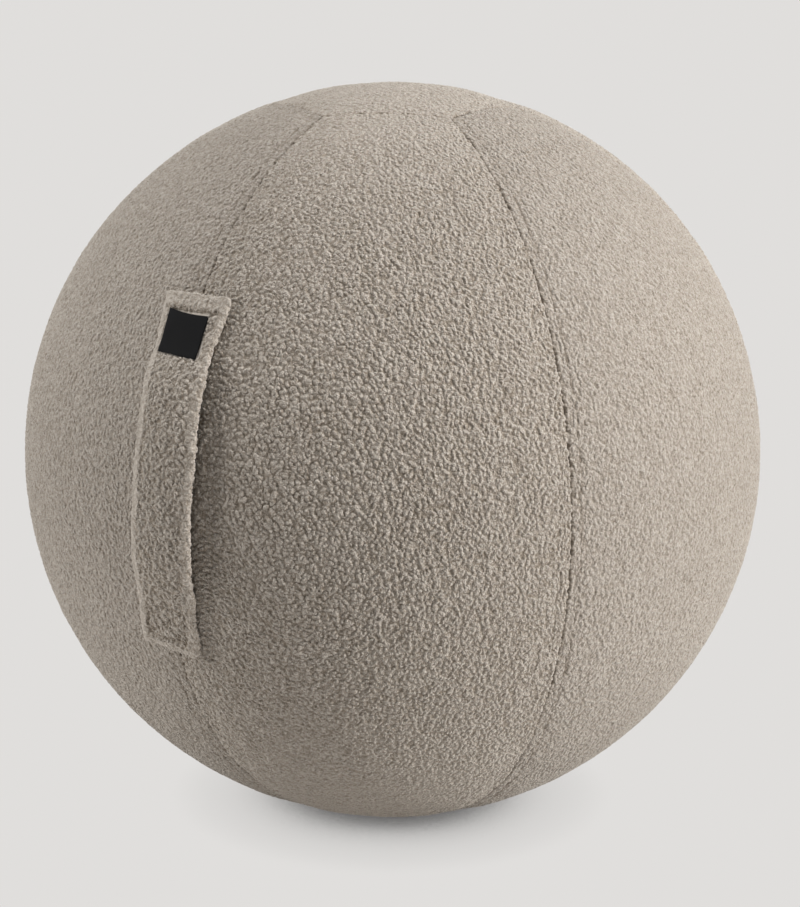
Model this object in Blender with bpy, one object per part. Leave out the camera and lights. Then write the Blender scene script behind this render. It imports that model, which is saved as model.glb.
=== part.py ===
"""Sitting ball: an inflated bladder in a zipped fabric cover with a carrying strap.

Metres, +Z up. The origin is the centre of the foot, the flat patch where the ball meets the floor.
Every piece is built around the ball's centre, and a direction from there is a polar angle, counted
from the top, and an azimuth, counted from -Y towards +X. A place along a seam is an arc length on
the ball's outside. The strap is on the front seam, at -Y, and the zip on the back seam, at +Y.
"""
import math

import bmesh
import bpy
from mathutils import Vector

# Ball and cover
BALL_D = 0.650          # over the pile of the cover
FOOT_R = 0.050          # flat patch that the ball's own weight makes
COVER_T = 0.006         # pile, backing and lining
PANEL_COUNT = 6         # side panels, and sides of each cap
CAP_CORNER = 0.109      # arc from the pole to a corner of a cap
SEAM_DIP = 0.003        # how deep a seam draws the fabric in
SEAM_ROLL = 0.010       # how far from the seam the fabric is drawn in
FIT = 0.0003            # gap between pieces that touch

# Carrying strap and its label
STRAP_L = 0.288
STRAP_W = 0.055
STRAP_T = 0.006
STRAP_CENTRE = 0.4685   # arc from the top of the ball to the strap's middle
STRAP_SHIFT = -0.003    # of both ends from the seam, towards +X
STRAP_BOW = 0.0105      # how far the slack middle leans to +X
STRAP_SEWN = 0.034      # length of each end that is sewn down
STRAP_RISE = 0.050      # length over which the strap leaves the cover
STRAP_GAP = 0.009       # room for the fingers under the strap
LABEL_W = 0.038
LABEL_H = 0.035
LABEL_T = 0.0008
LABEL_DROP = 0.016      # from the strap's upper end

# Zip
ZIP_START = 0.476       # arc from the top of the ball to the upper end of the slot
ZIP_L = 0.330
PLACKET_T = 0.0020      # fabric folded over the tapes
TAPE_W = 0.013
TAPE_T = 0.0008
TAPE_TAIL = 0.012       # tape beyond each end of the slot
TOOTH_L = 0.0035        # across the tape
TOOTH_W = 0.0030        # along the tape
TOOTH_H = 0.0024
TOOTH_PITCH = 0.0060
TOOTH_GRIP = 0.0012     # how far a tooth reaches onto the tape
TOOTH_SPLIT = 0.0016    # between the tips of the two rows
STOP_L = 0.004
STOP_REACH = 0.003      # how far a stop grips the tape
END_GAP = 0.001         # from a stop to the end of the slot
SLIDER_L = 0.014
SLIDER_PLATE = 0.0012
SLIDER_LIP = 0.0008
SLIDER_FLARE = 0.0008   # extra half width at the mouth, where the rows meet
SLIDER_SIDE = 0.0006    # clearance from the slot
BAIL_W = 0.0014
BAIL_T = 0.0010
PULL_L = 0.026
PULL_T = 0.0012
PULL_GRIP_W = 0.0064
PULL_ARM = 0.0012       # width of the arms beside the bail

# Bladder and its valve
BLADDER_WALL = 0.0020
VALVE_PLACE = 0.640     # arc from the top of the ball to the valve, behind the zip
COLLAR_R = 0.011
COLLAR_L = 0.014
PLUG_HEAD_R = 0.008
PLUG_HEAD_T = 0.0016
PLUG_TOP_R = 0.0052
PLUG_END_R = 0.0040

# Facets
PANEL_COLUMNS = 6
PANEL_ROWS = 20
CAP_SIDE_STEPS = 6
STRAP_STATIONS = 16
LABEL_STATIONS = 3
ARC_STEP = math.radians(3.0)
BLADDER_SEGMENTS = 30

# Sizes that follow from the ones above
BALL_R = BALL_D / 2
CENTRE_Z = math.sqrt(BALL_R ** 2 - FOOT_R ** 2)
SECTOR = 2 * math.pi / PANEL_COUNT
CAP_MID = math.atan(math.tan(CAP_CORNER / BALL_R) * math.cos(SECTOR / 2))
INNER_R = BALL_R - COVER_T
FRONT = 0.0

ROOF_R = BALL_R - PLACKET_T
TAPE_HIGH = ROOF_R - FIT
TAPE_LOW = TAPE_HIGH - TAPE_T
TOOTH_HIGH = (TAPE_HIGH + TAPE_LOW + TOOTH_H) / 2
TOOTH_LOW = TOOTH_HIGH - TOOTH_H
TOOTH_TIP = TOOTH_SPLIT / 2
TOOTH_ROOT = TOOTH_TIP + TOOTH_L
TAPE_EDGE = TOOTH_ROOT - TOOTH_GRIP
LIP_INSIDE = TOOTH_ROOT + FIT
SLIDER_HALF = LIP_INSIDE + SLIDER_LIP
SLOT_HALF = SLIDER_HALF + SLIDER_FLARE + SLIDER_SIDE
SLIDER_TOP = TOOTH_HIGH + FIT + SLIDER_PLATE
SLIDER_BASE = TOOTH_LOW - FIT - SLIDER_PLATE
STOP_PLACE = END_GAP
SLIDER_PLACE = STOP_PLACE + STOP_L + FIT
LAST_STOP_PLACE = ZIP_L - END_GAP - STOP_L
BAIL_ROOM = PULL_T * math.sqrt(0.5) + FIT
PULL_R = SLIDER_TOP + BAIL_ROOM


def panel_sag():
    """How far the middle of a panel's facet lies inside the true ball."""
    width = (SECTOR * BALL_R - 2 * SEAM_ROLL) / PANEL_COLUMNS
    height = ((math.pi - 2 * CAP_MID) * BALL_R - 2 * SEAM_ROLL) / PANEL_ROWS
    return INNER_R * (1 - math.cos(math.hypot(width, height) / 2 / BALL_R))


BLADDER_R = min(INNER_R - panel_sag(), SLIDER_BASE) - FIT


def on_ball(polar, azimuth, radius):
    """Point at a direction and distance from the ball's centre."""
    ring = radius * math.sin(polar)
    return Vector((ring * math.sin(azimuth), -ring * math.cos(azimuth), radius * math.cos(polar)))


def on_zip(x, arc, radius):
    """Point at a distance along the zip's slot, with x across it."""
    polar = (ZIP_START + arc) / BALL_R
    return Vector((x, radius * math.sin(polar), radius * math.cos(polar)))


def cap_edge(azimuth):
    """Polar angle of a cap's edge, a great circle on each of its sides."""
    from_middle = azimuth % SECTOR - SECTOR / 2
    return math.atan(math.tan(CAP_MID) / math.cos(from_middle))


def seam_spread(length, count):
    """Places across a panel, from one seam to the other, close together where the fabric rolls in."""
    roll = [0.0, 0.3 * SEAM_ROLL]
    inside = length - 2 * SEAM_ROLL
    middle = [SEAM_ROLL + inside * step / count for step in range(count + 1)]
    return roll + middle + [length - place for place in reversed(roll)]


def seam_dip(place):
    """Share of the full dip at a distance from a seam."""
    return max(0.0, 1 - place / SEAM_ROLL) ** 2


def press_foot(bm):
    """Flatten the underside, each layer at its own depth, as the ball's weight does."""
    for vert in bm.verts:
        depth = BALL_R - vert.co.length
        floor = depth - CENTRE_Z
        if vert.co.z < floor:
            vert.co *= floor / vert.co.z


def loft(bm, rings):
    """Skin a row of closed rings and fill the two ends."""
    loops = [[bm.verts.new(point) for point in ring] for ring in rings]
    for lower, upper in zip(loops, loops[1:]):
        for k, vert in enumerate(lower):
            after = (k + 1) % len(lower)
            bm.faces.new((vert, lower[after], upper[after], upper[k]))
    bm.faces.new(reversed(loops[0]))
    bm.faces.new(loops[-1])


def arc_bar(bm, profile, start, end):
    """Sweep a profile of (x, radius) points along the zip between two places on it."""
    steps = max(1, round((end - start) / BALL_R / ARC_STEP))
    places = [start + (end - start) * step / steps for step in range(steps + 1)]
    loft(bm, [[on_zip(x, place, radius) for x, radius in profile] for place in places])


def rectangle(x_low, x_high, radius_low, radius_high):
    return [(x_low, radius_low), (x_high, radius_low), (x_high, radius_high), (x_low, radius_high)]


def turned(profile, segments):
    """Turn a profile of (distance from the axis, height) points about Z."""
    bm = bmesh.new()
    verts = [bm.verts.new((distance, 0.0, height)) for distance, height in profile]
    edges = [bm.edges.new(pair) for pair in zip(verts, verts[1:])]
    bmesh.ops.spin(bm, geom=verts + edges, cent=(0, 0, 0), axis=(0, 0, 1),
                   angle=2 * math.pi, steps=segments, use_merge=True)
    bmesh.ops.remove_doubles(bm, verts=bm.verts, dist=1e-6)
    return bm


def material(name, colour, roughness, metallic=0.0):
    made = bpy.data.materials.new(name)
    made.use_nodes = True
    shader = made.node_tree.nodes["Principled BSDF"]
    shader.inputs["Base Color"].default_value = (*colour, 1.0)
    shader.inputs["Roughness"].default_value = roughness
    shader.inputs["Metallic"].default_value = metallic
    return made


def piece(name, bm, finish):
    """Turn a finished mesh into an object at the ball's centre."""
    bm.normal_update()
    bmesh.ops.recalc_face_normals(bm, faces=bm.faces)
    mesh = bpy.data.meshes.new(name)
    bm.to_mesh(mesh)
    bm.free()
    mesh.materials.append(finish)
    mesh.shade_smooth()
    mesh.set_sharp_from_angle(angle=math.radians(30))
    made = bpy.data.objects.new(name, mesh)
    made.location = (0, 0, CENTRE_Z)
    bpy.context.scene.collection.objects.link(made)
    return made


def combine(target, operation, tool):
    """Cut a tool out of a piece, or fuse it on, and keep the tool as a hidden guide."""
    tool.hide_render = True
    tool.display_type = "WIRE"
    modifier = target.modifiers.new(tool.name, "BOOLEAN")
    modifier.operation = operation
    modifier.object = tool


def panel_point(first_seam, column, row):
    """Direction of a point of a side panel, and the share of the seam dip there."""
    azimuth = first_seam + SECTOR / 2
    polar = math.pi / 2
    for _ in range(6):
        edge = cap_edge(azimuth)
        length = (math.pi - 2 * edge) * BALL_R - FIT
        down = seam_spread(length, PANEL_ROWS)[row]
        polar = edge + (FIT / 2 + down) / BALL_R
        width = SECTOR * BALL_R * math.sin(polar) - FIT
        across = seam_spread(width, PANEL_COLUMNS)[column]
        azimuth = first_seam + (FIT / 2 + across) / (BALL_R * math.sin(polar))
    beside = seam_dip(min(across, width - across))
    ends = seam_dip(min(down, length - down))
    return polar, azimuth, 1 - (1 - beside) * (1 - ends)


def side_panel(name, first_seam, finish):
    """One gore of the cover: a thick shell between two seams and the two caps."""
    bm = bmesh.new()
    columns = len(seam_spread(1, PANEL_COLUMNS))
    rows = len(seam_spread(1, PANEL_ROWS))
    outer, inner = {}, {}
    for row in range(rows):
        for column in range(columns):
            polar, azimuth, dip = panel_point(first_seam, column, row)
            outer[row, column] = bm.verts.new(on_ball(polar, azimuth, BALL_R - SEAM_DIP * dip))
            inner[row, column] = bm.verts.new(on_ball(polar, azimuth, INNER_R))
    for layer in (outer, inner):
        for row in range(rows - 1):
            for column in range(columns - 1):
                corners = ((row, column), (row, column + 1), (row + 1, column + 1), (row + 1, column))
                bm.faces.new([layer[corner] for corner in corners])
    rim = [(0, column) for column in range(columns - 1)]
    rim += [(row, columns - 1) for row in range(rows - 1)]
    rim += [(rows - 1, column) for column in range(columns - 1, 0, -1)]
    rim += [(row, 0) for row in range(rows - 1, 0, -1)]
    for here, after in zip(rim, rim[1:] + rim[:1]):
        bm.faces.new((outer[here], outer[after], inner[after], inner[here]))
    press_foot(bm)
    return piece(name, bm, finish)


def cap(name, upside, finish):
    """Top (upside 1) or bottom (upside -1) of the cover: a shell with straight seams all round."""
    bm = bmesh.new()
    segments = PANEL_COUNT * CAP_SIDE_STEPS
    foot_edge = FOOT_R / BALL_R
    layers = []
    for radius, dip in ((BALL_R, SEAM_DIP), (INNER_R, 0.0)):
        rings = []
        for ring in range(6):
            points = []
            for segment in range(segments):
                azimuth = segment * 2 * math.pi / segments
                edge = cap_edge(azimuth) - FIT / 2 / BALL_R
                roll = edge - SEAM_ROLL / BALL_R
                polar = (edge, edge - 0.3 * SEAM_ROLL / BALL_R, roll,
                         (roll + foot_edge) / 2, foot_edge, foot_edge / 2)[ring]
                depth = dip * seam_dip((edge - polar) * BALL_R)
                point = on_ball(polar, azimuth, radius - depth)
                point.z *= upside
                points.append(bm.verts.new(point))
            rings.append(points)
        pole = bm.verts.new((0, 0, upside * radius))
        for segment in range(segments):
            after = (segment + 1) % segments
            for outside, inside in zip(rings, rings[1:]):
                bm.faces.new((outside[segment], outside[after], inside[after], inside[segment]))
            bm.faces.new((rings[-1][segment], rings[-1][after], pole))
        layers.append(rings[0])
    for segment in range(segments):
        after = (segment + 1) % segments
        bm.faces.new((layers[0][segment], layers[0][after], layers[1][after], layers[1][segment]))
    press_foot(bm)
    return piece(name, bm, finish)


def cut_placket(panel, name, finish):
    """Open the slot in a panel beside the zip, and the pocket under its folded edge for the tape."""
    below = BLADDER_R
    pocket_side = TAPE_EDGE + TAPE_W + FIT
    pocket_end = TAPE_TAIL + FIT
    slot = bmesh.new()
    arc_bar(slot, rectangle(-SLOT_HALF, SLOT_HALF, below, BALL_R + COVER_T), 0.0, ZIP_L)
    combine(panel, "DIFFERENCE", piece(name + "_slot_cutter", slot, finish))
    pocket = bmesh.new()
    arc_bar(pocket, rectangle(-pocket_side, pocket_side, below, ROOF_R), -pocket_end, ZIP_L + pocket_end)
    combine(panel, "DIFFERENCE", piece(name + "_pocket_cutter", pocket, finish))


def strap_lift(place):
    """Height of the strap's underside over its sewn ends, at a length from its upper end."""
    from_end = min(place, STRAP_L - place)
    share = min(1.0, max(0.0, (from_end - STRAP_SEWN) / STRAP_RISE))
    return STRAP_GAP * share * share * (3 - 2 * share)


def strap_point(place, x, height):
    """Point on the strap: a length from its upper end, across it, and above its underside."""
    polar = (STRAP_CENTRE - STRAP_L / 2 + place) / BALL_R
    share = place / STRAP_L
    middle = STRAP_SHIFT + STRAP_BOW * 4 * share * (1 - share)
    azimuth = FRONT + (middle + x) / (BALL_R * math.sin(polar))
    chord_sag = (STRAP_L / STRAP_STATIONS) ** 2 / (8 * BALL_R) + (STRAP_W / 4) ** 2 / (8 * BALL_R)
    return on_ball(polar, azimuth, BALL_R + FIT + chord_sag + strap_lift(place) + height)


def label_places():
    return [LABEL_DROP + LABEL_H * step / LABEL_STATIONS for step in range(LABEL_STATIONS + 1)]


def strap_places():
    """Lengths along the strap at which it has a ring of points, shared with the label above it."""
    room = STRAP_L / STRAP_STATIONS / 4
    places = [STRAP_L * step / STRAP_STATIONS for step in range(STRAP_STATIONS + 1)]
    clear = [p for p in places if p < LABEL_DROP - room or p > LABEL_DROP + LABEL_H + room]
    return sorted(clear + label_places())


def strap_profile():
    """Strap section of (x, height) points, with both long edges folded round."""
    fold = STRAP_T / 2
    straight = STRAP_W / 2 - fold
    turn = [math.radians(angle) for angle in (-90, -45, 0, 45, 90)]
    right = [(straight + fold * math.cos(a), fold + fold * math.sin(a)) for a in turn]
    top = [(straight * share, STRAP_T) for share in (0.5, 0.0, -0.5)]
    left = [(-x, height) for x, height in reversed(right)]
    bottom = [(straight * share, 0.0) for share in (-0.5, 0.0, 0.5)]
    return right + top + left + bottom


def strap(finish):
    bm = bmesh.new()
    loft(bm, [[strap_point(place, x, height) for x, height in strap_profile()]
              for place in strap_places()])
    return piece("handle_strap", bm, finish)


def label(finish):
    bm = bmesh.new()
    low = STRAP_T + FIT
    shares = (-0.5, -0.25, 0.0, 0.25, 0.5)
    profile = [(LABEL_W * share, low) for share in shares]
    profile += [(LABEL_W * share, low + LABEL_T) for share in reversed(shares)]
    loft(bm, [[strap_point(place, x, height) for x, height in profile] for place in label_places()])
    return piece("woven_label", bm, finish)


def zip_tape(name, side, finish):
    """One tape with its row of teeth; the rows are half a pitch apart, so the teeth alternate."""
    tape = bmesh.new()
    edges = sorted((side * TAPE_EDGE, side * (TAPE_EDGE + TAPE_W)))
    arc_bar(tape, rectangle(*edges, TAPE_LOW, TAPE_HIGH), -TAPE_TAIL, ZIP_L + TAPE_TAIL)
    made = piece(name, tape, finish)
    teeth = bmesh.new()
    tooth = rectangle(*sorted((side * TOOTH_TIP, side * TOOTH_ROOT)), TOOTH_LOW, TOOTH_HIGH)
    place = SLIDER_PLACE + (TOOTH_PITCH / 2 if side > 0 else 0.0)
    while place + TOOTH_W < LAST_STOP_PLACE:
        arc_bar(teeth, tooth, place, place + TOOTH_W)
        place += TOOTH_PITCH
    combine(made, "UNION", piece(name + "_teeth", teeth, finish))
    return made


def top_stop(name, side, finish):
    """Clip on one tape's edge that keeps the slider on the chain."""
    reach = TAPE_EDGE + STOP_REACH
    seat = TAPE_EDGE - FIT
    low, high = TOOTH_LOW - 2 * FIT, TOOTH_HIGH + 2 * FIT
    profile = [(TOOTH_TIP, low), (reach, low), (reach, TAPE_LOW - FIT), (seat, TAPE_LOW - FIT),
               (seat, TAPE_HIGH + FIT), (reach, TAPE_HIGH + FIT), (reach, high), (TOOTH_TIP, high)]
    bm = bmesh.new()
    arc_bar(bm, [(side * x, radius) for x, radius in profile], STOP_PLACE, STOP_PLACE + STOP_L)
    return piece(name, bm, finish)


def bottom_stop(finish):
    """Clip that ties the lower ends of both tapes together."""
    reach = TAPE_EDGE + STOP_REACH
    seat = TAPE_EDGE - FIT
    low, high = TOOTH_LOW - 2 * FIT, TOOTH_HIGH + 2 * FIT
    right = [(reach, low), (reach, TAPE_LOW - FIT), (seat, TAPE_LOW - FIT),
             (seat, TAPE_HIGH + FIT), (reach, TAPE_HIGH + FIT), (reach, high)]
    left = [(-x, radius) for x, radius in reversed(right)]
    bm = bmesh.new()
    arc_bar(bm, right + left, LAST_STOP_PLACE, LAST_STOP_PLACE + STOP_L)
    return piece("zip_bottom_stop", bm, finish)


def slider_section(half):
    """Slider section of (x, radius) points: two lipped plates on a thin neck."""
    neck = TOOTH_TIP - FIT
    upper = [(neck, TOOTH_HIGH + FIT), (LIP_INSIDE, TOOTH_HIGH + FIT), (LIP_INSIDE, TAPE_HIGH + FIT),
             (half, TAPE_HIGH + FIT), (half, SLIDER_TOP - SLIDER_LIP), (half - SLIDER_LIP, SLIDER_TOP)]
    lower = [(half, SLIDER_BASE), (half, TAPE_LOW - FIT), (LIP_INSIDE, TAPE_LOW - FIT),
             (LIP_INSIDE, TOOTH_LOW - FIT), (neck, TOOTH_LOW - FIT)]
    right = lower + upper
    return right + [(-x, radius) for x, radius in reversed(right)]


def zip_slider(finish):
    """Slider that straddles both rows, flared at its mouth, with a bail for the pull."""
    body = bmesh.new()
    widths = ((0.0, SLIDER_FLARE / 2), (0.12, SLIDER_FLARE), (0.45, SLIDER_FLARE), (0.75, 0.0), (1.0, 0.0))
    rings = []
    for share, flare in widths:
        section = slider_section(SLIDER_HALF + flare)
        rings.append([on_zip(x, SLIDER_PLACE + SLIDER_L * share, radius) for x, radius in section])
    loft(body, rings)
    made = piece("zip_slider", body, finish)

    channel = bmesh.new()
    arc_bar(channel, rectangle(-TOOTH_ROOT, TOOTH_ROOT, TOOTH_LOW - FIT, TOOTH_HIGH + FIT),
            SLIDER_PLACE + SLIDER_L / 2, SLIDER_PLACE + 2 * SLIDER_L)
    combine(made, "DIFFERENCE", piece("zip_slider_channel_cutter", channel, finish))

    bail = bmesh.new()
    middle = SLIDER_PLACE + SLIDER_L / 2
    root = SLIDER_TOP - SLIDER_PLATE / 2
    window_top = SLIDER_TOP + 2 * BAIL_ROOM
    outer = BAIL_ROOM + BAIL_T
    arch = [(outer, root), (outer, window_top), (BAIL_ROOM, window_top + BAIL_T),
            (-BAIL_ROOM, window_top + BAIL_T), (-outer, window_top), (-outer, root),
            (-BAIL_ROOM, root), (-BAIL_ROOM, window_top), (BAIL_ROOM, window_top), (BAIL_ROOM, root)]
    loft(bail, [[on_zip(x, middle + arc, radius) for arc, radius in arch]
                for x in (-BAIL_W / 2, BAIL_W / 2)])
    combine(made, "UNION", piece("zip_slider_bail", bail, finish))
    return made


def zip_pull(finish):
    """Pull tab with a crossbar under the bail; its origin is on the crossbar, where it swings."""
    arm_inside = BAIL_W / 2 + FIT
    arm_outside = arm_inside + PULL_ARM
    grip = PULL_GRIP_W / 2
    window = math.hypot(BAIL_ROOM + BAIL_T, BAIL_ROOM) + BAIL_T / 2
    shoulder = window + PULL_ARM
    right = [(arm_outside, -PULL_T / 2), (arm_outside, shoulder), (grip, shoulder + grip)]
    for angle in (0, 30, 60):
        turn = math.radians(angle)
        right.append((grip * math.cos(turn), PULL_L - grip + grip * math.sin(turn)))
    outline = right + [(0.0, PULL_L)] + [(-x, y) for x, y in reversed(right)]
    bm = bmesh.new()
    loft(bm, [[(x, y, z) for x, y in outline] for z in (-PULL_T / 2, PULL_T / 2)])
    made = piece("zip_pull", bm, finish)
    opening = bmesh.new()
    hole = [(arm_inside, PULL_T / 2), (arm_inside, window), (-arm_inside, window), (-arm_inside, PULL_T / 2)]
    loft(opening, [[(x, y, z) for x, y in hole] for z in (-PULL_T, PULL_T)])
    cutter = piece("zip_pull_window_cutter", opening, finish)
    combine(made, "DIFFERENCE", cutter)
    place = on_zip(0.0, SLIDER_PLACE + SLIDER_L / 2, PULL_R)
    for part in (made, cutter):
        part.location += place
        part.rotation_euler.x = -math.atan2(place.y, place.z)
    return made


def aim_at_valve(bm):
    """Turn a mesh made about Z so that its axis points out through the valve."""
    polar = VALVE_PLACE / BALL_R
    for vert in bm.verts:
        x, y, z = vert.co
        vert.co = (x, y * math.cos(polar) + z * math.sin(polar), z * math.cos(polar) - y * math.sin(polar))


def bladder(finish):
    """Hollow inflated ball with a collar inside it for the valve plug."""
    inner = BLADDER_R - BLADDER_WALL
    rim = PLUG_HEAD_R + FIT
    top = math.sqrt(BLADDER_R ** 2 - rim ** 2)
    shelf = top - PLUG_HEAD_T - FIT
    end = top - COLLAR_L
    rows = BLADDER_SEGMENTS // 2
    start = math.asin(COLLAR_R / inner)
    angles = [start + (math.pi - start) * row / rows for row in range(rows + 1)]
    inside = [(inner * math.sin(angle), inner * math.cos(angle)) for angle in angles]
    outside = [(BLADDER_R * math.sin(angle), BLADDER_R * math.cos(angle)) for angle in reversed(angles)]
    inside[-1] = (0.0, -inner)
    outside[0] = (0.0, -BLADDER_R)
    valve = [(rim, top), (rim, shelf), (PLUG_TOP_R + FIT, shelf), (PLUG_END_R + FIT, end), (COLLAR_R, end)]
    bm = turned(outside + valve + inside, BLADDER_SEGMENTS)
    aim_at_valve(bm)
    press_foot(bm)
    return piece("bladder", bm, finish)


def valve_plug(finish):
    """Tapered stopper, flush with the bladder."""
    top = math.sqrt(BLADDER_R ** 2 - (PLUG_HEAD_R + FIT) ** 2)
    profile = [(0.0, top), (PLUG_HEAD_R, top), (PLUG_HEAD_R, top - PLUG_HEAD_T),
               (PLUG_TOP_R, top - PLUG_HEAD_T), (PLUG_END_R, top - COLLAR_L), (0.0, top - COLLAR_L)]
    bm = turned(profile, BLADDER_SEGMENTS)
    aim_at_valve(bm)
    return piece("valve_plug", bm, finish)


def build():
    for old in list(bpy.data.objects):
        bpy.data.objects.remove(old, do_unlink=True)
    pile = material("cover_pile", (0.39, 0.34, 0.29), 0.95)
    woven = material("label_weave", (0.012, 0.012, 0.013), 0.85)
    tape_weave = material("zip_tape_weave", (0.30, 0.26, 0.22), 0.80)
    metal = material("zip_metal", (0.42, 0.40, 0.37), 0.35, 0.9)
    vinyl = material("bladder_vinyl", (0.33, 0.34, 0.36), 0.45)
    stopper = material("valve_stopper", (0.75, 0.75, 0.74), 0.40)

    cap("cover_top_cap", 1, pile)
    cap("cover_bottom_cap", -1, pile)
    for number in range(PANEL_COUNT):
        name = f"cover_panel_{number + 1}"
        panel = side_panel(name, FRONT + number * SECTOR, pile)
        if number in (PANEL_COUNT // 2 - 1, PANEL_COUNT // 2):
            cut_placket(panel, name, pile)
    strap(pile)
    label(woven)
    for side, hand in ((1, "left"), (-1, "right")):
        zip_tape(f"zip_tape_{hand}", side, tape_weave)
        top_stop(f"zip_top_stop_{hand}", side, metal)
    bottom_stop(metal)
    zip_slider(metal)
    zip_pull(metal)
    bladder(vinyl)
    valve_plug(stopper)


build()
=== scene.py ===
"""Looks of a sitting ball: looped-pile cover, carry strap, label, zip, floor, light and camera."""

import itertools
import math

import bmesh
import bpy
import numpy as np
from mathutils import Matrix, Vector


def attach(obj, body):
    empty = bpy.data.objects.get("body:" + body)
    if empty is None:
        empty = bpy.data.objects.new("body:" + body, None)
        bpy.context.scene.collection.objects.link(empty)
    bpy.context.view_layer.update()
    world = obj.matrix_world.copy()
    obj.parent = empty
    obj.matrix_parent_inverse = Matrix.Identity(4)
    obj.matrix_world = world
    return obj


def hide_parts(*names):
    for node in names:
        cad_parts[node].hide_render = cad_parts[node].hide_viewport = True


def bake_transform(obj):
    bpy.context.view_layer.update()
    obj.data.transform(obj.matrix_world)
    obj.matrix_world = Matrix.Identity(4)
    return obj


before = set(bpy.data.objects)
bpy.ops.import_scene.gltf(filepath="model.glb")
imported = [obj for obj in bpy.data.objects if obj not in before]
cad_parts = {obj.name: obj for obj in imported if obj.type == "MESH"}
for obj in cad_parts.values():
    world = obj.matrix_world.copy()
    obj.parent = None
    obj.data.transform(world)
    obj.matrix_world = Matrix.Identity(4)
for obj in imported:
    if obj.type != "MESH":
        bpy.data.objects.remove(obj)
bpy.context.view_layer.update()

# Sizes that the CAD model has too, in metres
BALL_R = 0.325
CENTRE_Z = 0.3211308
PANEL_COUNT = 6
SECTOR = 2 * math.pi / PANEL_COUNT
BEFORE_ZIP = 2
AFTER_ZIP = 3
CAP_CORNER = 0.109
CAP_MID = math.atan(math.tan(CAP_CORNER / BALL_R) * math.cos(SECTOR / 2))
STRAP_L = 0.288
STRAP_W = 0.055
STRAP_CENTRE = 0.4685
STRAP_SHIFT = -0.003
STRAP_BOW = 0.0105
STRAP_SEWN = 0.034
STRAP_RISE = 0.050
STRAP_GAP = 0.009
STRAP_SEAT = 0.0005
LABEL_W = 0.038
LABEL_H = 0.035
LABEL_T = 0.0008
LABEL_DROP = 0.016
ZIP_START = 0.476
ZIP_L = 0.330
SLOT_HALF = 0.0068
SLOT_RAMP = 0.008

# Numbers that make up the noise, the seed of each use of it, and the smallest steps
HASH_AXES = (73856093, 19349663, 83492791)
HASH_SEED = 2654435761
HASH_MIX = 0xBF58476D1CE4E5B9
HASH_STEPS = 0x1000000
CREASE_SEED = 3
PUCKER_SEED = 5
GROOVE_SEED = 7
DASH_SEED = 9
CLUSTER_SEED = 17
LEFT_WAVE_SEED = 31
RIGHT_WAVE_SEED = 32
LUMP_SEED = 33
EDGE_FRAY_SEED = 34
FRAY_SEED = 41
LABEL_WAVE_SEED = 43
NOISE_SHIFT = 1.0
TINY = 1e-9
NONZERO = 1e-12
WELD = 0.00001

# The cover's mesh, and how it turns down into its seams
EDGE_ZONE = 0.012
EDGE_STEPS = 18
PANEL_COLUMNS = 290
PANEL_ROWS = 720
GRID_PASSES = 8
CAP_RINGS = 92
CAP_MAP = 2.2
SEAM_GAP = 0.0001
RIM_SHARE = 1 - 0.0070 / BALL_R
CREASE_W = 0.0024
CREASE_W_VARY = 0.55
CREASE_DEPTH = 0.0026
CREASE_DEPTH_VARY = 0.275
CREASE_PATCH = 0.020
PILLOW_DEPTH = 0.0012
PILLOW_REACH = 0.016
PUCKER_H = 0.0006
PUCKER_SIZE = 0.011
PUCKER_REACH = 0.010
WELT = 0.009
WELT_BLUR = 0.002
GROOVE_DEPTH = 0.0009
GROOVE_W = 0.0011
GROOVE_SHARE = 0.6
GROOVE_VARY = 0.6
BED_DEPTH = 0.0006
BED_INSET = 0.001
BED_BLUR = 0.003
BED_FADE = 0.006
LIP_RADIUS = 0.3231
LIP_FOLD = 0.0014
LIP_FADE = 0.003
CLUSTER = 0.016
CLUSTER_H = 0.0003

# How far the pile is pressed flat, from 0 to 1, which also paints it lighter, with painted light on the
# ball's top and bottom; and the painted shade in the creases of seams and grooves
EDGE_NAP = 0.3
EDGE_NAP_W = 0.0020
WELT_NAP = 0.22
GROOVE_NAP = 0.40
FLOOR_NAP = 0.7
FLOOR_BLUR = 0.002
NAP_DOWN = 0.32
TOP_NAP_AND_LIGHT = 0.45
TOP_LIGHT_EDGE = math.radians(47.0)
TOP_LIGHT_FADE = math.radians(30.0)
BOTTOM_NAP_AND_LIGHT = 0.55
BOTTOM_LIGHT_EDGE = math.radians(112.0)
BOTTOM_LIGHT_FADE = math.radians(37.0)
CREASE_SHADE_W = 0.0015
CREASE_SHADE_SHARE = 0.5
CREASE_SHADE_BREAK = 1.0
CREASE_SHADE_PATCH = 0.007
GROOVE_SHADE = 0.6

# The pile: spacing and height of its forms, its bump, its painted light and shade, and its sheen
TUFT = 0.0078
TUFT_ROUND = 0.30
TUFT_H = 0.0003
CURL = 0.0028
CURL_STEEP = 1.5
CURL_H = 0.0017
BEND_SIZE = 0.0040
BEND = 0.0026
LOOP = 0.00145
FIBRE = 0.0008
FIBRE_DETAIL = 2.0
PILE_SINK = 0.0010
PILE_CALM = 0.8
TUFT_BUMP = 0.25
CURL_BUMP = 0.60
LOOP_BUMP = 0.35
FIBRE_BUMP = 0.30
BUMP_DEPTH = 0.0013
BUMP_CALM = 0.7
SHADE_BASE = 0.3
CURL_SHADE = 0.35
LOOP_SHADE = 0.25
FIBRE_SHADE = 1.6
CRACK = 0.10
CRACK_DARK = 0.25
CRACK_PATCH = 1.6 * TUFT
CRACK_PARTS = (0.35, 0.6)
CREVICE = 0.003
CREVICE_W = 0.14
CREVICE_DARK = 0.5
CREVICE_PATCH = 0.0035
CREVICE_PARTS = (0.42, 0.62)
SHADE_SIZE = 0.045
SHADE_DETAIL = 3.0
SHADE_VARY = 0.10
PRESSED_CALM = 0.65
PRESSED_SHADE = 0.72
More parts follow.
